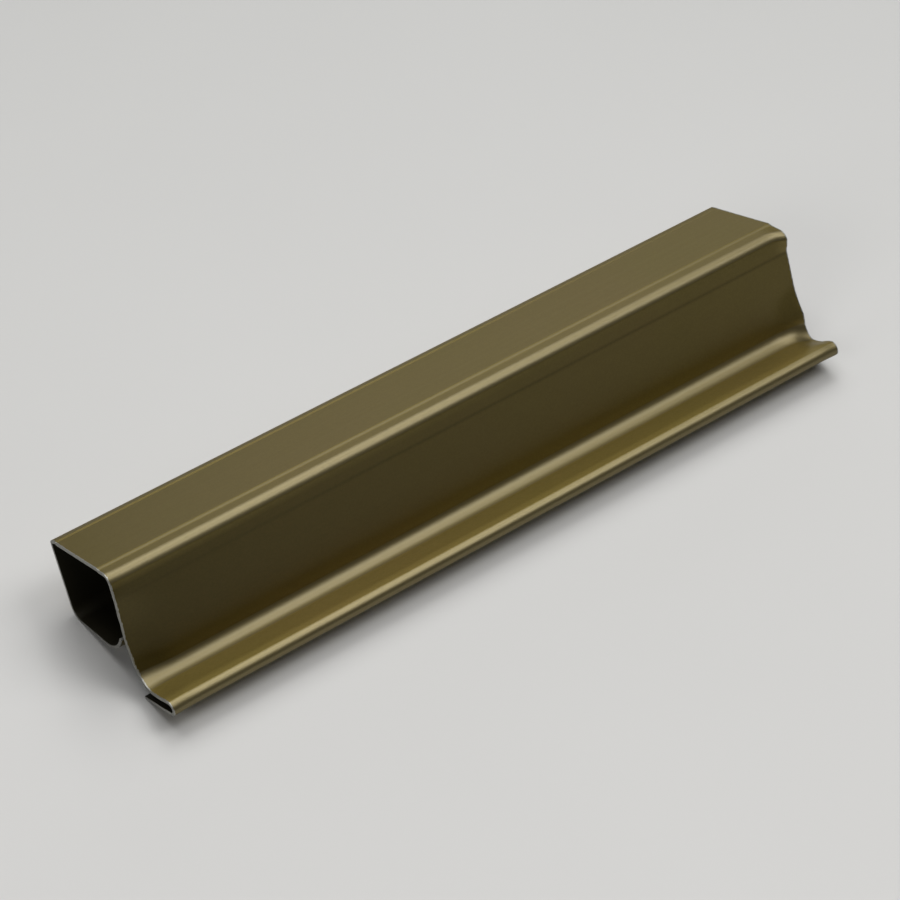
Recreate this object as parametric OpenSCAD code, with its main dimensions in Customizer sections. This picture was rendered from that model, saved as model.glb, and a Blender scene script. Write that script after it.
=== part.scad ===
// Cold-formed steel trim profile: a short length of stock, lying as it comes to rest.
// One strip of painted sheet is rolled into a box with a curled inner lip, a web, and a
// flange whose edge is turned under in an open hem.
//
// Millimetres. X runs along the profile, Y towards its back wall, Z up from the floor.
// The origin is at the bottom centre of the part's bounding box.

/* [Stock] */
// Thickness of the painted steel sheet
sheet_t = 0.6; // [0.4:0.05:0.9]
// Length of the cut piece
profile_len = 150; // [20:1:1000]

/* [Box] */
// Width of the top face, between its two outer corners
top_w = 22.4; // [18:0.2:40]
// Height of the back wall, between its two outer corners
wall_h = 16.4; // [13:0.2:30]
// Lean of the back wall, outwards from square with the top face, in degrees
wall_lean = 3; // [0:0.5:8]
// Drop of the return face towards the lip, from parallel with the top face, in degrees
return_drop = 7; // [0:0.5:10]
// Inner radius of the corner between the back wall and the top face
back_top_r = 0.6; // [0.3:0.1:1.5]
// Inner radius of the corner between the back wall and the return face
back_bottom_r = 2.2; // [0.6:0.1:3]

/* [Lip] */
// Straight run of the lip, up to its free edge
lip_flat = 0.6; // [0.4:0.1:3]
// Inner radius of the lip's curl
lip_r = 8.3; // [3:0.1:9]
// Angle that the lip curls up from the return face, in degrees
lip_turn = 57.3; // [30:0.1:60]
// Gap between the lip's free edge and the inside of the web
lip_gap = 2.6; // [0.8:0.1:3]

/* [Web] */
// Height of the web, from the top face down to the flange
web_h = 21.8; // [20:0.2:40]
// Lean of the web, outwards from square with the top face, in degrees
web_lean = 0; // [0:0.5:6]
// Inner radius of the corner between the top face and the web
front_top_r = 1.3; // [0.6:0.1:2.5]
// Inner radius of the fillet between the web and the flange
fillet_r = 2.3; // [1:0.1:4]

/* [Flange and hem] */
// Width of the flange, from the face of the web to the tip of the hem
flange_w = 10; // [8:0.5:20]
// Rise of the flange towards its tip, from parallel with the top face, in degrees
flange_rise = 2; // [0:1:8]
// Height of the hem over both layers of sheet
hem_h = 3.1; // [2.4:0.1:4]
// Width of the layer turned under the flange, from the tip of the hem to its free edge
hem_w = 11.2; // [5:0.2:16]

/* [Step] */
// Length of the land between the step in the top face and the front corner
land_w = 3.3; // [2.6:0.1:8]
// Slope of the land towards the front, from parallel with the top face, in degrees
land_lean = 4; // [0:0.5:6]
// Angle of the step's ramp to the top face, in degrees
step_turn = 14; // [8:1:20]
// Length of the step's ramp
step_ramp = 0.5; // [0.1:0.1:1]
// Inner radius of the step's two bends
step_r = 0.8; // [0.3:0.1:2]

/* [Hidden] */
$fn = 96;

// The strip is walked from the lip's free edge to the hem's, in the plane of the section.
// Its show face is on the right hand of the walk and its thickness on the left.
// A straight run is ["flat", length]. A bend is ["bend", inner radius, degrees], and turns
// left when the angle is positive.
FLAT = "flat";
BEND = "bend";
// Half planes that trim a bend are larger than any section
reach = 4 * (top_w + web_h + flange_w);

// Radius of the show face in a bend, negative where its centre lies on the right
function face_radius(inner_r, turn) = turn > 0 ? inner_r + sheet_t : -inner_r;
// Length a bend takes from each run beside it, measured to the corner of their show faces
function setback(inner_r, turn) = abs(face_radius(inner_r, turn)) * tan(abs(turn) / 2);

// Turns of the main corners
back_bottom_turn = 90 + wall_lean - return_drop;
back_top_turn = 90 - wall_lean;
front_top_turn = 90 - web_lean - land_lean;
fillet_turn = -(90 - web_lean + flange_rise);

// What each corner takes from the runs that meet there
back_top_cut = setback(back_top_r, back_top_turn);
back_bottom_cut = setback(back_bottom_r, back_bottom_turn);
front_top_cut = setback(front_top_r, front_top_turn);
fillet_cut = setback(fillet_r, fillet_turn);
step_width = (2 * step_r + sheet_t) * sin(step_turn) + step_ramp * cos(step_turn)
    - step_r * sin(land_lean);

function lip_run(return_flat) = [
    [FLAT, lip_flat],
    [BEND, lip_r, lip_turn],
    [FLAT, return_flat],
];
back_run = [
    [BEND, back_bottom_r, back_bottom_turn],
    [FLAT, wall_h - back_bottom_cut - back_top_cut],
    [BEND, back_top_r, back_top_turn],
];
top_run = [
    [FLAT, top_w - back_top_cut - step_width - land_w * cos(land_lean)],
    [BEND, step_r, step_turn],
    [FLAT, step_ramp],
    [BEND, step_r, land_lean - step_turn],
    [FLAT, land_w - front_top_cut],
    [BEND, front_top_r, front_top_turn],
];
web_run = [
    [FLAT, web_h - front_top_cut - fillet_cut],
    [BEND, fillet_r, fillet_turn],
];
hem_run = [
    [FLAT, flange_w - fillet_cut - hem_h / 2],
    [BEND, hem_h / 2 - sheet_t, 180],
    [FLAT, hem_w - hem_h / 2],
];

// A place on the walk is [x, y, heading]. The top face heads along -x, towards the front.
start = [0, 0, return_drop - lip_turn];
function after(place, step) =
    step[0] == FLAT
        ? [place.x + step[1] * cos(place[2]), place.y + step[1] * sin(place[2]), place[2]]
        : let (r = face_radius(step[1], step[2]), heading = place[2] + step[2])
          [
              place.x + r * (sin(heading) - sin(place[2])),
              place.y + r * (cos(place[2]) - cos(heading)),
              heading,
          ];
function walk(steps, place = start, k = 0) =
    k == len(steps) ? place : walk(steps, after(place, steps[k]), k + 1);

// Direction of a heading, and the direction of the sheet's thickness beside it
function ahead(heading) = [cos(heading), sin(heading)];
function leftward(heading) = [-sin(heading), cos(heading)];

// The return face is as long as leaves the lip its gap to the inside of the web
bare_web = walk(concat(lip_run(0), back_run, top_run));
bare_gap = -[bare_web.x, bare_web.y] * leftward(bare_web[2]) - sheet_t;
return_flat = (bare_gap - lip_gap) / (ahead(return_drop) * leftward(bare_web[2]));

strip = concat(lip_run(return_flat), back_run, top_run, web_run, hem_run);

// Unheld, the profile rests on the rounded corner below its back wall and on the free edge
// of the hem. The floor touches the one and passes through the other.
corner_start = walk(lip_run(return_flat));
corner_r = back_bottom_r + sheet_t;
corner_centre = [corner_start.x, corner_start.y] + corner_r * leftward(corner_start[2]);
hem_end = walk(strip);
hem_edge = [hem_end.x, hem_end.y];
across = corner_centre - hem_edge;
tilt = atan2(across.y, across.x) - asin(corner_r / norm(across));

// Points of the section as it lies, measured from the free edge of the hem
function lying(point) =
    let (d = point - hem_edge)
    [d.x * cos(tilt) + d.y * sin(tilt), d.y * cos(tilt) - d.x * sin(tilt)];
top_corner = walk(concat(lip_run(return_flat), back_run));
top_corner_centre = [top_corner.x, top_corner.y]
    + (back_top_r + sheet_t) * leftward(top_corner[2]);
hem_turn = walk(concat(lip_run(return_flat), back_run, top_run, web_run, [hem_run[0]]));
hem_turn_centre = [hem_turn.x, hem_turn.y] + hem_h / 2 * leftward(hem_turn[2]);
back_y = max(lying(top_corner_centre).x + back_top_r + sheet_t,
    lying(corner_centre).x + corner_r);
front_y = lying(hem_turn_centre).x - hem_h / 2;

// Turns its children about a point of the section
module turn_about(centre, angle) {
    translate(centre) rotate(angle) translate(-centre) children();
}

// The sheet in one bend, which starts at the origin and heads along x
module bend(inner_r, turn) {
    centre = [0, face_radius(inner_r, turn)];
    intersection() {
        translate(centre) difference() {
            circle(r = inner_r + sheet_t);
            circle(r = inner_r);
        }
        translate([0, -reach]) square([reach, 2 * reach]);
        turn_about(centre, turn) translate([-reach, -reach]) square([reach, 2 * reach]);
    }
}

// The strip from step k to its end. Each step is drawn where the one before it stops.
module strip_from(k) {
    if (k < len(strip)) {
        step = strip[k];
        if (step[0] == FLAT) {
            square([step[1], sheet_t]);
            translate([step[1], 0]) strip_from(k + 1);
        } else {
            bend(step[1], step[2]);
            turn_about([0, face_radius(step[1], step[2])], step[2]) strip_from(k + 1);
        }
    }
}

// The section as it lies on the floor, with y to the right and z up
module section() {
    translate([-(back_y + front_y) / 2, 0]) rotate(-tilt) translate(-hem_edge)
        rotate(start[2]) strip_from(0);
}

module trim_profile() {
    color("darkkhaki")
        translate([-profile_len / 2, 0, 0]) rotate([90, 0, 90])
            linear_extrude(height = profile_len) section();
}

trim_profile();
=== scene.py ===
# A short length of cold-formed steel trim in champagne bronze paint, as it lies on a table.
#
# The visible profile is folded up from one flat strip, run by run, as the roll former does.
# It is shown in place of the plainer solid, and stays inside that solid's box.
#
# X runs along the profile, Y towards its back wall, Z up from the table. The profile's sizes
# are in millimetres and MM turns them into Blender's metres. The room's are in metres.
import math

import bmesh
import bpy
from mathutils import Matrix, Vector


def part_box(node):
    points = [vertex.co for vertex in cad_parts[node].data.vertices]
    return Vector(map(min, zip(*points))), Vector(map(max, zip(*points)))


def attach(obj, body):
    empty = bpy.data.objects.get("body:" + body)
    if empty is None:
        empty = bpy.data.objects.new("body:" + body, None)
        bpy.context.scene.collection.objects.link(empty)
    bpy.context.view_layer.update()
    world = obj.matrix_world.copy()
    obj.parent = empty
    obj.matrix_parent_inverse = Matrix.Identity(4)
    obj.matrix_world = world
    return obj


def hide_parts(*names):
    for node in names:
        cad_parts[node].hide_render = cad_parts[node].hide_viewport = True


MM = 0.001

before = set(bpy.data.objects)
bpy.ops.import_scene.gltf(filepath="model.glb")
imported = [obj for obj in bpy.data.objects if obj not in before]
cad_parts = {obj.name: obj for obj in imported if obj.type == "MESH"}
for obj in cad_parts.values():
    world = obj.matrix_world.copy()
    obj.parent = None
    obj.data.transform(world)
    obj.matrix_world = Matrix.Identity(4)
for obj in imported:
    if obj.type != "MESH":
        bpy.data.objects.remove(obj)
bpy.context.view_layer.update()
profile_low, profile_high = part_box("trim_profile")
# The skin is a hair shorter than the solid, so that its bent ends stay within it, and its
# back lies a hair inside
END_ROOM, BACK_ROOM = 0.21, 0.04
LENGTH = profile_high.x - profile_low.x - END_ROOM * MM
NEAR, FAR = -LENGTH / 2, LENGTH / 2

# The sheet and its folds, in millimetres and degrees. A fold's radius is the inner one.
SHEET = 0.6
LIP_FLAT, LIP_R, LIP_TURN = 0.4, 8.3, 57.3
RETURN_FLAT = 9.226
BACK_BOTTOM_R, BACK_BOTTOM_TURN = 2.2, 86.0
BACK_FLAT = 12.65
BACK_TOP_R, BACK_TOP_TURN = 0.6, 87.0
TOP_FLAT = 16.9
STEP_R, STEP_TURN, STEP_RAMP, STEP_BACK = 0.8, 17.0, 0.6, -13.0
LAND_FLAT = 1.421
FRONT_R, FRONT_TURN = 1.2, 86.0
WEB_FLAT = 17.45
FILLET_R, FILLET_TURN = 2.6, -92.0
FLANGE_FLAT = 4.38
CROWN_R, CROWN_TURN = 9.0, 10.0
HEM_R = 0.81
HEM_FLAT = 9.7
# The return face drops this much from parallel with the top face, and at rest the top face
# slopes this much, so this is how the strip lies at the lip's free edge
RETURN_DROP, TOP_SLOPE = 7.0, 23.5505
LIP_LIES = RETURN_DROP - LIP_TURN - TOP_SLOPE

# The rollers leave a low bead along the back edge of the top face
BEAD_FOOT_R, BEAD_CREST_R = 0.4, 0.3
BEAD_RISE, BEAD_RISE_FLAT, BEAD_FALL, BEAD_FALL_FLAT = 9.0, 0.8, 15.0, 0.374
BEAD_W = 1.691
# The bead is full up to the middle of the length, and nearly gone at the far end
BEAD_FADES_FROM, BEAD_AT_FAR_END = 0.0, 0.25
# A narrow darker line also runs down the web, below the front corner
STRIPE_DOWN, STRIPE_W = 2.45, 1.1

# Each run is flat, with its length, or a fold, with its inner radius and turn. A painted
# highlight makes the paint paler down the middle of the ramp and round the pale folds, and the
# paint is darker down the middle of the stripe.
FLAT, RAMP, STRIPE = "flat", "ramp", "rub"
FOLD, HIGHLIGHT_FOLD, BEAD_FOLD = "fold", "pale fold", "first fold of the bead"
STRIP = (
    (FLAT, LIP_FLAT),
    (FOLD, LIP_R, LIP_TURN),
    (FLAT, RETURN_FLAT),
    (FOLD, BACK_BOTTOM_R, BACK_BOTTOM_TURN),
    (FLAT, BACK_FLAT),
    (FOLD, BACK_TOP_R, BACK_TOP_TURN),
    (BEAD_FOLD, BEAD_FOOT_R, -BEAD_RISE),
    (FLAT, BEAD_RISE_FLAT),
    (FOLD, BEAD_CREST_R, BEAD_RISE + BEAD_FALL),
    (FLAT, BEAD_FALL_FLAT),
    (FOLD, BEAD_FOOT_R, -BEAD_FALL),
    (FLAT, TOP_FLAT - BEAD_W),
    (FOLD, STEP_R, STEP_TURN),
    (RAMP, STEP_RAMP),
    (FOLD, STEP_R, STEP_BACK),
    (FLAT, LAND_FLAT),
    (HIGHLIGHT_FOLD, FRONT_R, FRONT_TURN),
    (FLAT, STRIPE_DOWN),
    (STRIPE, STRIPE_W),
    (FLAT, WEB_FLAT - STRIPE_DOWN - STRIPE_W),
    (HIGHLIGHT_FOLD, FILLET_R, FILLET_TURN),
    (FLAT, FLANGE_FLAT),
    (FOLD, CROWN_R, CROWN_TURN),
    (HIGHLIGHT_FOLD, HEM_R, 180.0 - CROWN_TURN),
    (FLAT, HEM_FLAT),
)
# A fold is drawn in steps of about this many degrees, and a flat in steps of this length
FOLD_STEP, FLAT_STEP = 5.0, 1.6
# Cross lines near each cut end, as distances from it, where the ends are a little bent
END_LINES = (0.35, 0.8, 1.4, 2.1, 3.0, 4.0, 5.2, 6.6, 8.5, 11.0, 15.0, 21.0, 30.0, 45.0, 60.0)
# Points closer than the first of these are welded, than the second are at the same place,
# and than the third to a paint mark are on it
WELD, SAME, ON_MARK = 0.001, 0.005, 0.03
# The dark stripe is faint at the near end, and the painted highlight is fainter round the folds
# than down the ramp
STRIPE_AT_NEAR_END, HIGHLIGHT_IN_FOLDS = 0.2, 0.7

# How the shears bent the cut ends. Each push grips the cut's points within a radius of a
# place in the section, given as (y, z), moves them by (x, y, z), and fades over its reach in
# the way named last.
# The near end: the cut wanders down the web, which is bowed in, the flange droops, the hem's
# tip is a little short and the lip is knocked back
NEAR_PUSHES = (
    ((0.0, 10.0), 40.0, (0.2, 0.0, 0.0), 20.0, "SMOOTH"),
    ((-0.3, 22.4), 1.5, (0.1, 0.1, 0.0), 3.0, "SMOOTH"),
    ((-4.0, 15.8), 1.2, (-0.1, 0.0, 0.0), 2.2, "SMOOTH"),
    ((-6.2, 11.2), 1.4, (-0.25, 0.0, 0.0), 3.6, "SMOOTH"),
    ((-7.0, 11.2), 3.2, (0.0, 0.75, 0.0), 8.0, "SMOOTH"),
    ((-7.9, 7.4), 0.8, (-0.15, 0.0, 0.0), 1.5, "SMOOTH"),
    ((-13.6, 5.2), 1.2, (0.0, 0.0, -0.25), 4.0, "SMOOTH"),
    ((-18.6, 4.6), 1.6, (0.2, 0.05, -0.25), 4.5, "SMOOTH"),
    ((-2.0, 6.2), 3.4, (0.0, 0.3, -0.2), 6.0, "SMOOTH"),
)
# The far end: the foot of the web jogged, the flange crushed and the front corner splayed
FAR_PUSHES = (
    ((-9.4, 5.0), 1.1, (0.0, -1.0, 0.6), 6.5, "LINEAR"),
    ((-8.4, 7.2), 1.2, (-0.05, -0.5, 0.0), 2.2, "LINEAR"),
    ((-13.5, 5.2), 1.4, (0.0, 0.0, -1.3), 4.5, "SMOOTH"),
    ((-18.6, 4.8), 1.6, (0.0, 0.05, -0.3), 4.0, "SMOOTH"),
    ((-1.2, 22.2), 1.3, (0.0, -0.95, 0.0), 3.0, "SMOOTH"),
)
# The cut's corners, where the faces turn by more than this, are broken by this much. Folds
# turn by less than the smooth angle from one step to the next.
CUT_CORNER, CUT_BREAK, SMOOTH_BELOW = 50, 0.05, 35

# Where the paint is made brighter or duller than on the rest of the strip, as painted light
# and shade. Each part is found by how far it is forward, up or off the web, and comes in
# between the first value and the next.
FLANGE_FORWARD, FLANGE_UP, HEM_FORWARD = (10.2, 11.8), (2.6, 4.2), (16.8, 18.4)
OFF_WEB, WEB_FOOT_UP, WEB_HEAD_UP = (0.6, 0.1), (3.6, 5.2), (21.6, 20.6)
# Middle of the web's show face as the strip lies, and the way it faces
WEB_MIDDLE, WEB_OUT = Vector((0, -5.145, 13.586)), Vector((0, -0.9167, 0.3996))
# Painted light: the flange is made brighter, the more so towards the near end, and the hem a
# little
LIFT_AT_FAR_END, LIFT_GAIN, LIFT_ON_HEM = 0.35, 0.55, 0.22
# and painted shade: the web is made duller towards the near end
WEB_PAINTED_SHADE, SHADE_POWER = 0.45, 1.4


def deselect_all():
    bpy.ops.object.select_all(action="DESELECT")


def start_on(piece):
    deselect_all()
    piece.select_set(True)
    bpy.context.view_layer.objects.active = piece


def apply_modifier(piece, kind, **settings):
    start_on(piece)
    made = piece.modifiers.new(kind.title(), kind)
    for name, value in settings.items():
        setattr(made, name, value)
    bpy.ops.object.modifier_apply(modifier=made.name)


def ramp(value, low, high):
    """0 up to the low value, 1 from the high value, and a straight rise between."""
    return min(1.0, max(0.0, (value - low) / (high - low)))


def mark(piece, name, worth):
    """Writes a number on each point, for the paint to read."""
    made = piece.data.attributes.new(name, "FLOAT", "POINT")
    for vertex in piece.data.vertices:
        made.data[vertex.index].value = worth(vertex)


def on_any(point, places):
    """1 at a point that has one of the places in its section, and 0 elsewhere."""
    return float(any(math.hypot(point.y - p.y, point.z - p.z) < ON_MARK * MM for p in places))


def evenness(vertex):
    """How bright the paint is made at a point by painted light and shade, against the rest of the
    strip.
    """
    towards_near = ramp(-vertex.co.x, NEAR, FAR)
    forward, up = -vertex.co.y / MM, vertex.co.z / MM
    off_web = abs(WEB_OUT.dot(vertex.co / MM - WEB_MIDDLE))
    on_flange = ramp(forward, *FLANGE_FORWARD) * ramp(up, *FLANGE_UP)
    on_hem = ramp(forward, *HEM_FORWARD)
    on_web = ramp(off_web, *OFF_WEB) * ramp(up, *WEB_FOOT_UP) * ramp(up, *WEB_HEAD_UP)
    painted_lift = (LIFT_AT_FAR_END + LIFT_GAIN * towards_near) * (1 - on_hem) + LIFT_ON_HEM * on_hem
    return 1 + on_flange * painted_lift - on_web * WEB_PAINTED_SHADE * towards_near ** SHADE_POWER


def draw_flat(start, along, length, steps):
    for k in range(steps):
        bpy.ops.mesh.extrude_edges_move(TRANSFORM_OT_translate={"value": along * length / steps})
    return start + along * length


def fade_bead(piece, foot, along, left):
    """Flattens the bead, cross line by cross line, towards the far end."""
    faces = Matrix((Vector((1, 0, 0)), along, left)).transposed()
    places = sorted({round(v.co.x / MM, 3) for v in bmesh.from_edit_mesh(piece.data).verts})
    bpy.ops.mesh.select_mode(type="VERT")
    for place in places:
        if place * MM <= BEAD_FADES_FROM:
            continue
        part = (place * MM - BEAD_FADES_FROM) / (FAR - BEAD_FADES_FROM)
        bpy.ops.mesh.select_all(action="DESELECT")
        mesh = bmesh.from_edit_mesh(piece.data)
        for vertex in mesh.verts:
            run, rise = (vertex.co - foot).dot(along), (vertex.co - foot).dot(left)
            on_line = abs(vertex.co.x - place * MM) < SAME * MM
            vertex.select = on_line and SAME * MM < run < BEAD_W * MM and abs(rise) < SHEET * MM
        bmesh.update_edit_mesh(piece.data)
        bpy.ops.transform.resize(value=(1, 1, 1 - part * (1 - BEAD_AT_FAR_END)),
                                 orient_matrix=faces, orient_matrix_type="LOCAL",
                                 constraint_axis=(False, False, True), center_override=foot)


def roll_form():
    """One strip, folded in the plane of the section while its first run lies level."""
    deselect_all()
    bpy.ops.mesh.primitive_plane_add(size=1.0, location=(0, 0, 0))
    piece = bpy.context.object
    bpy.ops.object.mode_set(mode="EDIT")
    bpy.ops.transform.resize(value=(LENGTH, LIP_FLAT * MM, 1.0))
    bpy.ops.transform.translate(value=(0, LIP_FLAT * MM / 2, 0))
    bpy.ops.mesh.select_mode(type="EDGE")
    bpy.ops.mesh.select_all(action="DESELECT")
    mesh = bmesh.from_edit_mesh(piece.data)
    for edge in mesh.edges:
        edge.select = all(v.co.y > LIP_FLAT * MM / 2 for v in edge.verts)
    bmesh.update_edit_mesh(piece.data)
    heading = 0.0
    at = Vector((0, LIP_FLAT * MM, 0))
    bead = None
    rubbed, paled, painted_highlight_folds = [], [], []
    for kind, *sizes in STRIP[1:]:
        along = Vector((0, math.cos(heading), math.sin(heading)))
        left = Vector((0, -math.sin(heading), math.cos(heading)))
        size = sizes[0] * MM
        if kind == FLAT:
            at = draw_flat(at, along, size, math.ceil(sizes[0] / FLAT_STEP))
            continue
        if kind in (STRIPE, RAMP):
            # Marks the middle of the dark stripe, and the painted highlight down the middle of the
            # ramp
            (rubbed if kind == STRIPE else paled).append(at + along * size / 2)
            at = draw_flat(at, along, size, 2)
            continue
        if kind == BEAD_FOLD:
            bead = (at, along, left)
        turn = math.radians(sizes[1])
        # The show face is on the right, so it has the bigger radius in a left turn
        face_radius = size + SHEET * MM if turn > 0 else -size
        centre = at + left * face_radius
        axis = (-1, 0, 0) if turn > 0 else (1, 0, 0)
        steps = math.ceil(abs(sizes[1]) / FOLD_STEP)
        bpy.ops.mesh.spin(steps=steps, angle=abs(turn), center=centre, axis=axis)
        # Painted highlight: the middle of a pale fold is marked to be painted paler
        if kind == HIGHLIGHT_FOLD:
            painted_highlight_folds += [centre + Matrix.Rotation(turn * k / steps, 3, "X") @ (at - centre)
                            for k in range(2, steps - 1)]
        heading += turn
        at = centre - Vector((0, -math.sin(heading), math.cos(heading))) * face_radius
    bpy.ops.mesh.select_all(action="SELECT")
    bpy.ops.mesh.remove_doubles(threshold=WELD * MM)
    for away in END_LINES:
        for place in (FAR - away * MM, NEAR + away * MM):
            bpy.ops.mesh.select_all(action="SELECT")
            bpy.ops.mesh.bisect(plane_co=(place, 0, 0), plane_no=(1, 0, 0))
    fade_bead(piece, *bead)
    bpy.ops.object.mode_set(mode="OBJECT")
    # A narrow darker line down the web, fainter at the near end
    mark(piece, "rubbed", lambda v: on_any(v.co, rubbed) * (
        STRIPE_AT_NEAR_END + (1 - STRIPE_AT_NEAR_END) * ramp(v.co.x, NEAR, 0)))
    # Painted highlight: paler down the ramp and round the pale folds
    mark(piece, "paled", lambda v: max(on_any(v.co, paled),
                                       HIGHLIGHT_IN_FOLDS * on_any(v.co, painted_highlight_folds)))
    mark(piece, "from_cut", lambda v: (FAR - abs(v.co.x)) / MM)
    return piece


def lay_at_rest(piece):
    """Turns the folded strip to the way it lies, and sets it where the solid is."""
    start_on(piece)
    piece.rotation_euler.x = math.radians(LIP_LIES)
    bpy.ops.object.transform_apply(location=False, rotation=True, scale=False)
    most_y = max(v.co.y for v in piece.data.vertices)
    least_z = min(v.co.z for v in piece.data.vertices)
    piece.location = (0, profile_high.y - BACK_ROOM * MM - most_y, profile_low.z - least_z)
    bpy.ops.object.transform_apply(location=True, rotation=False, scale=False)


def turn_faces_out(piece):
    """Outwards is the show face's side. The strip is still open, so it is turned as one."""
    start_on(piece)
    bpy.ops.object.mode_set(mode="EDIT")
    bpy.ops.mesh.select_all(action="SELECT")
    bpy.ops.mesh.normals_make_consistent(inside=False)
    bpy.ops.object.mode_set(mode="OBJECT")


def push_end(piece, end, place, radius, push, reach, falloff):
    """Pushes one cut end about a place in its section, fading out over the reach."""
    start_on(piece)
    bpy.ops.object.mode_set(mode="EDIT")
    bpy.ops.mesh.select_mode(type="VERT")
    bpy.ops.mesh.select_all(action="DESELECT")
    mesh = bmesh.from_edit_mesh(piece.data)
    from_cut = mesh.verts.layers.float["from_cut"]
    for vertex in mesh.verts:
        on_cut = vertex[from_cut] < SAME and vertex.co.x * end > 0
        off_y, off_z = vertex.co.y - place[0] * MM, vertex.co.z - place[1] * MM
        vertex.select = on_cut and math.hypot(off_y, off_z) < radius * MM
    bmesh.update_edit_mesh(piece.data)
    bpy.ops.transform.translate(
        value=[p * MM for p in push], use_proportional_edit=True,
        use_proportional_connected=True, proportional_edit_falloff=falloff,
        proportional_size=reach * MM)
    bpy.ops.object.mode_set(mode="OBJECT")


def node(tree, kind, inputs=None, **settings):
    """Adds one node. Each input is a constant, or the (node, output) that it is linked to."""
    made = tree.nodes.new(kind)
    for name, value in settings.items():
        setattr(made, name, value)
    for socket, value in (inputs or {}).items():
        if isinstance(value, tuple) and isinstance(value[0], bpy.types.Node):
            tree.links.new(value[0].outputs[value[1]], made.inputs[socket])
        else:
            made.inputs[socket].default_value = value
    return made


def colour(code):
    """A linear colour from an sRGB hex code."""
    parts = [int(code[k:k + 2], 16) / 255 for k in (1, 3, 5)]
    linear = [c / 12.92 if c <= 0.04045 else ((c + 0.055) / 1.055) ** 2.4 for c in parts]
    return (*linear, 1.0)


# A mix node's two colours are at these sockets, and its result is at this output
MIX_FIRST, MIX_SECOND, MIXED = 6, 7, 2


def blend(tree, by, first, second):
    """Goes from the first colour to the second as a value goes from 0 to 1."""
    return node(tree, "ShaderNodeMix", {"Factor": by, MIX_FIRST: first, MIX_SECOND: second},
                data_type="RGBA")


def noise(tree, vector, size, detail=2.0):
    """A soft random pattern, with its size in millimetres."""
    return node(tree, "ShaderNodeTexNoise",
                {"Vector": vector, "Scale": 1 / (size * MM), "Detail": detail})


def new_material(name):
    """An empty material, its node tree, and the place on the object for its patterns."""
    material = bpy.data.materials.new(name)
    material.use_nodes = True
    tree = material.node_tree
    tree.nodes.clear()
    return material, tree, (node(tree, "ShaderNodeTexCoord"), "Object")


# Bronze metallic coil paint, baked on flat sheet before the strip is rolled: a satin skin
# that is olive and dark face on, with a broad pale gleam where it turns to the light.
PAINT_OLIVE, PAINT_BROWN = "#716635", "#74653c"
CLOUD_MM = 30.0
# Painted highlight: the paint is paler round the tight folds and down the step, for their pale
# gleam
PAINTED_HIGHLIGHT_TINT = "#766d52"
STRIPE_SHADE = 0.72
# The flakes in such paint are about 0.03 mm, too fine to show here, so they are drawn coarser
FLAKE_MM, FLAKE_HIGH_MM = 0.28, 0.002
FLAKE_DARKEST, FLAKE_LIGHTEST = 0.95, 1.05
# The rollers leave faint lines along the strip, about this far apart, with the pattern drawn
# out lengthways. They are smoother and rougher by turns.
ROLL_LINE_MM, DRAWN_OUT = 0.9, (0.01, 1.0, 1.0)
SMOOTHEST, ROUGHEST = 0.46, 0.54
# Baked paint levels out to slow swells, a few thousandths of a millimetre high
SWELL_MM, SWELL_HIGH_MM = 4.0, 0.008
# Where the shears drew the paint back from the cut, in a line this ragged
DRAWN_BACK_MM, RAGGED_MM = 0.22, 0.5


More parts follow.
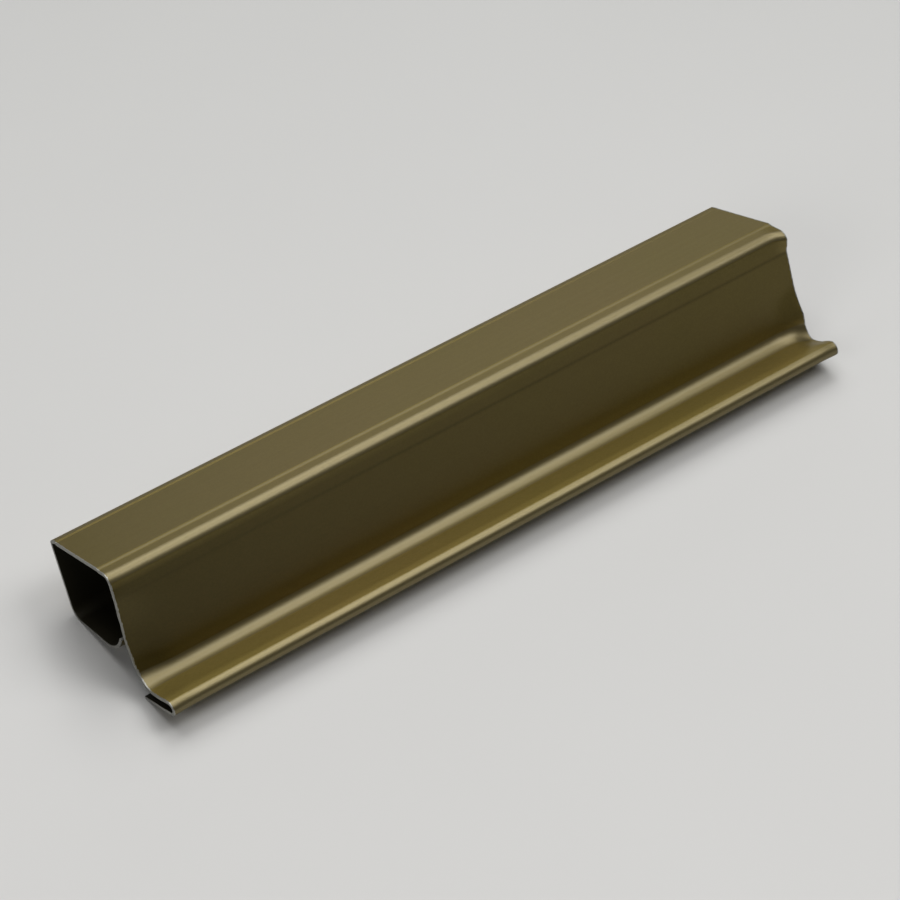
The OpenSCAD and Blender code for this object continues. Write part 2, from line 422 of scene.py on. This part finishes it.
def coil_paint():
    material, tree, place = new_material("bronze_coil_paint")
    # Olive, with slow drifts of brown
    cloud = noise(tree, place, CLOUD_MM, 3.0)
    tone = blend(tree, (cloud, "Fac"), colour(PAINT_BROWN), colour(PAINT_OLIVE))
    # Painted light and shade: the flange is made brighter, and the web duller towards the near end
    light_and_shade = node(tree, "ShaderNodeAttribute", attribute_name="evenness")
    level = node(tree, "ShaderNodeVectorMath", {"Vector": (tone, MIXED), "Scale": (light_and_shade, "Fac")},
                 operation="SCALE")
    # Each flake is a little lighter or darker, and the line down the web is darker
    flakes = node(tree, "ShaderNodeTexVoronoi", {"Vector": place, "Scale": 1 / (FLAKE_MM * MM)})
    flake = node(tree, "ShaderNodeSeparateColor", {"Color": (flakes, "Color")})
    glint = node(tree, "ShaderNodeMapRange",
                 {"Value": (flake, "Red"), "To Min": FLAKE_DARKEST, "To Max": FLAKE_LIGHTEST})
    rubbed = node(tree, "ShaderNodeAttribute", attribute_name="rubbed")
    shade = node(tree, "ShaderNodeMapRange",
                 {"Value": (rubbed, "Fac"), "To Min": 1.0, "To Max": STRIPE_SHADE})
    depth = node(tree, "ShaderNodeMath", {0: (glint, "Result"), 1: (shade, "Result")},
                 operation="MULTIPLY")
    painted = node(tree, "ShaderNodeVectorMath",
                   {"Vector": (level, "Vector"), "Scale": (depth, "Value")}, operation="SCALE")
    # Painted highlight: paler where the points are marked
    paled = node(tree, "ShaderNodeAttribute", attribute_name="paled")
    highlighted = blend(tree, (paled, "Fac"), (painted, "Vector"), colour(PAINTED_HIGHLIGHT_TINT))
    # Bare steel shows in a ragged line beside the cuts
    from_cut = node(tree, "ShaderNodeAttribute", attribute_name="from_cut")
    ragged = noise(tree, place, RAGGED_MM)
    edge = node(tree, "ShaderNodeMapRange",
                {"Value": (ragged, "Fac"), "To Max": 2 * DRAWN_BACK_MM})
    bare = node(tree, "ShaderNodeMath", {0: (from_cut, "Fac"), 1: (edge, "Result")},
                operation="LESS_THAN")
    tint = blend(tree, (bare, "Value"), (highlighted, MIXED), colour(STEEL))
    # The roll lines, in how rough the paint is
    drawn_out = node(tree, "ShaderNodeMapping", {"Vector": place, "Scale": DRAWN_OUT})
    lines = noise(tree, (drawn_out, "Vector"), ROLL_LINE_MM)
    rough = node(tree, "ShaderNodeMapRange",
                 {"Value": (lines, "Fac"), "To Min": SMOOTHEST, "To Max": ROUGHEST})
    # The swells make the gleam waver, and the flakes make it sparkle a little
    swell = noise(tree, place, SWELL_MM, 1.0)
    swells = node(tree, "ShaderNodeBump",
                  {"Height": (swell, "Fac"), "Strength": 1.0, "Distance": SWELL_HIGH_MM * MM})
    relief = node(tree, "ShaderNodeBump", {
        "Height": (flake, "Green"),
        "Normal": (swells, "Normal"),
        "Strength": 0.4,
        "Distance": FLAKE_HIGH_MM * MM,
    })
    # A thin clear coat lies over the flakes, and the half tint keeps the paint from going
    # white at a low angle
    skin = node(tree, "ShaderNodeBsdfPrincipled", {
        "Base Color": (tint, MIXED),
        "Roughness": (rough, "Result"),
        "Normal": (relief, "Normal"),
        "Metallic": 0.95,
        "Specular Tint": (0.5, 0.5, 0.5, 1.0),
        "Coat Weight": 0.25,
        "Coat Roughness": 0.25,
    })
    node(tree, "ShaderNodeOutputMaterial", {"Surface": (skin, "BSDF")})
    return material


# The sheared edge of galvanised steel: bare grey metal, torn dull in patches
STEEL, STEEL_TORN = "#9c9c96", "#66645d"
TEAR_MM, TEAR_DEEP_MM = 0.6, 0.03


def cut_steel():
    material, tree, place = new_material("cut_galvanised_steel")
    tears = noise(tree, place, TEAR_MM, 4.0)
    tone = blend(tree, (tears, "Fac"), colour(STEEL_TORN), colour(STEEL))
    rough = node(tree, "ShaderNodeMapRange",
                 {"Value": (tears, "Fac"), "To Min": 0.6, "To Max": 0.4})
    torn = node(tree, "ShaderNodeBump",
                {"Height": (tears, "Fac"), "Strength": 0.6, "Distance": TEAR_DEEP_MM * MM})
    skin = node(tree, "ShaderNodeBsdfPrincipled", {
        "Base Color": (tone, MIXED),
        "Roughness": (rough, "Result"),
        "Normal": (torn, "Normal"),
        "Metallic": 0.85,
    })
    node(tree, "ShaderNodeOutputMaterial", {"Surface": (skin, "BSDF")})
    return material


# The thin backing coat on the strip's other side, which shows only inside: dull, and made
# darker than the coat itself as painted shade inside the box
BACKING, BACKING_THIN = "#1f1c10", "#2b2717"
BACKING_CLOUD_MM, BACKING_HIGH_MM = 6.0, 0.01


def shaded_backing_coat():
    # Painted shade: the inner side is darkened for the shade inside the box
    material, tree, place = new_material("backing_coat_painted_shade")
    cloud = noise(tree, place, BACKING_CLOUD_MM, 4.0)
    tone = blend(tree, (cloud, "Fac"), colour(BACKING), colour(BACKING_THIN))
    swell = node(tree, "ShaderNodeBump",
                 {"Height": (cloud, "Fac"), "Strength": 0.5, "Distance": BACKING_HIGH_MM * MM})
    skin = node(tree, "ShaderNodeBsdfPrincipled", {
        "Base Color": (tone, MIXED),
        "Normal": (swell, "Normal"),
        "Metallic": 0.5,
        "Roughness": 0.5,
    })
    node(tree, "ShaderNodeOutputMaterial", {"Surface": (skin, "BSDF")})
    return material


# A sheet of matt card on the table: pale grey, with a slow unevenness and a fine tooth
CARD, CARD_SHADE_AND_CLOUD = "#d3d2d0", "#babab8"
CARD_CLOUD_MM, CARD_TOOTH_MM, CARD_TOOTH_HIGH_MM = 120.0, 0.4, 0.01
# Painted shade: it darkens away from the front, along this way and between these distances
CARD_BACK, CARD_PALE_TO_MM, CARD_DEEP_FROM_MM = (0.55, 0.83, 0.0), -120.0, 260.0
# and by this much where it is uneven
CARD_CLOUDED = 0.2


def pale_card():
    material, tree, place = new_material("matt_card")
    # Painted shade, darker away from the front, and the slow unevenness
    across = node(tree, "ShaderNodeVectorMath", {0: place, 1: CARD_BACK}, operation="DOT_PRODUCT")
    back = node(tree, "ShaderNodeMapRange", {
        "Value": (across, "Value"),
        "From Min": CARD_PALE_TO_MM * MM,
        "From Max": CARD_DEEP_FROM_MM * MM,
    })
    cloud = noise(tree, place, CARD_CLOUD_MM, 3.0)
    shade_and_cloud = node(tree, "ShaderNodeMath",
                  {0: (cloud, "Fac"), 1: CARD_CLOUDED, 2: (back, "Result")},
                  operation="MULTIPLY_ADD")
    tone = blend(tree, (shade_and_cloud, "Value"), colour(CARD), colour(CARD_SHADE_AND_CLOUD))
    tooth = noise(tree, place, CARD_TOOTH_MM)
    relief = node(tree, "ShaderNodeBump",
                  {"Height": (tooth, "Fac"), "Strength": 0.3, "Distance": CARD_TOOTH_HIGH_MM * MM})
    skin = node(tree, "ShaderNodeBsdfPrincipled", {
        "Base Color": (tone, MIXED),
        "Normal": (relief, "Normal"),
        "Roughness": 0.85,
        "Specular IOR Level": 0.2,
    })
    node(tree, "ShaderNodeOutputMaterial", {"Surface": (skin, "BSDF")})
    return material


def make_profile():
    profile = roll_form()
    profile.name = "profile_skin"
    lay_at_rest(profile)
    turn_faces_out(profile)
    # Painted light on the flange and hem, and painted shade on the web
    mark(profile, "evenness", evenness)
    for end, pushes in ((NEAR, NEAR_PUSHES), (FAR, FAR_PUSHES)):
        for push in pushes:
            push_end(profile, end, *push)
    for material in (coil_paint(), cut_steel(), shaded_backing_coat()):
        profile.data.materials.append(material)
    # The show face keeps the paint. The cut and the sheet's other side take the next two.
    apply_modifier(profile, "SOLIDIFY", thickness=SHEET * MM, offset=-1.0, use_even_offset=True,
                   material_offset=2, material_offset_rim=1)
    apply_modifier(profile, "BEVEL", width=CUT_BREAK * MM, segments=2, limit_method="ANGLE",
                   angle_limit=math.radians(CUT_CORNER))
    start_on(profile)
    bpy.ops.object.shade_smooth_by_angle(angle=math.radians(SMOOTH_BELOW))
    apply_modifier(profile, "WEIGHTED_NORMAL", mode="FACE_AREA", keep_sharp=True)
    return profile


TABLE_SIDE = 4.0


def lay_table():
    deselect_all()
    bpy.ops.mesh.primitive_plane_add(size=TABLE_SIDE, location=(0, 0, 0))
    table = bpy.context.object
    table.name = "table"
    table.data.materials.append(pale_card())


# The camera stands in front and to the left, and looks down and round to the right by these
# angles, through a long lens
CAMERA_AT = (-0.2144, -0.2882, 0.3747)
CAMERA_DOWN, CAMERA_ROUND = 45.6, 36.3
LENS_MM, SENSOR_MM, SEES_FROM = 112.44, 36.0, 0.01


def set_camera():
    data = bpy.data.cameras.new("camera")
    data.sensor_width = SENSOR_MM
    data.lens = LENS_MM
    data.clip_start = SEES_FROM
    camera = bpy.data.objects.new("camera", data)
    bpy.context.scene.collection.objects.link(camera)
    camera.location = CAMERA_AT
    camera.rotation_euler = (math.radians(90 - CAMERA_DOWN), 0, -math.radians(CAMERA_ROUND))
    bpy.context.scene.camera = camera


# Square softboxes, all this far from the profile: the way to each, its side and its watts
LAMPS_AWAY = 0.9
SOFTBOXES = {
    "overhead_softbox": ((0, 0, 1), 0.7, 2.45),
    "back_overhead_softbox": ((0.1, 0.45, 0.88), 0.7, 3.39),
    "front_softbox": ((0.41, -0.3, 0.86), 0.45, 2.89),
    "high_back_panel": ((0.41, 0.36, 0.84), 0.45, 1.36),
    "low_back_panel": ((0.41, 0.86, 0.30), 0.45, 0.7),
    "left_panel": ((-0.8, -0.25, 0.5), 0.45, 1.5),
}


def hang_softbox(name, way, side, power):
    data = bpy.data.lights.new(name, "AREA")
    data.shape = "SQUARE"
    data.size = side
    data.energy = power
    made = bpy.data.objects.new(name, data)
    bpy.context.scene.collection.objects.link(made)
    made.location = Vector(way).normalized() * LAMPS_AWAY
    made.rotation_euler = (-made.location).to_track_quat("-Z", "Y").to_euler()


def darken_room():
    """The softboxes give all the light, so the room itself gives none."""
    world = bpy.data.worlds.new("room")
    bpy.context.scene.world = world
    world.use_nodes = True
    tree = world.node_tree
    tree.nodes.clear()
    room = node(tree, "ShaderNodeBackground", {"Strength": 0.0})
    node(tree, "ShaderNodeOutputWorld", {"Surface": (room, "Background")})


profile = make_profile()
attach(profile, "root")
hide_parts("trim_profile")

lay_table()
set_camera()
darken_room()
for name, (way, side, power) in SOFTBOXES.items():
    hang_softbox(name, way, side, power)
bpy.context.scene.view_settings.view_transform = "Standard"
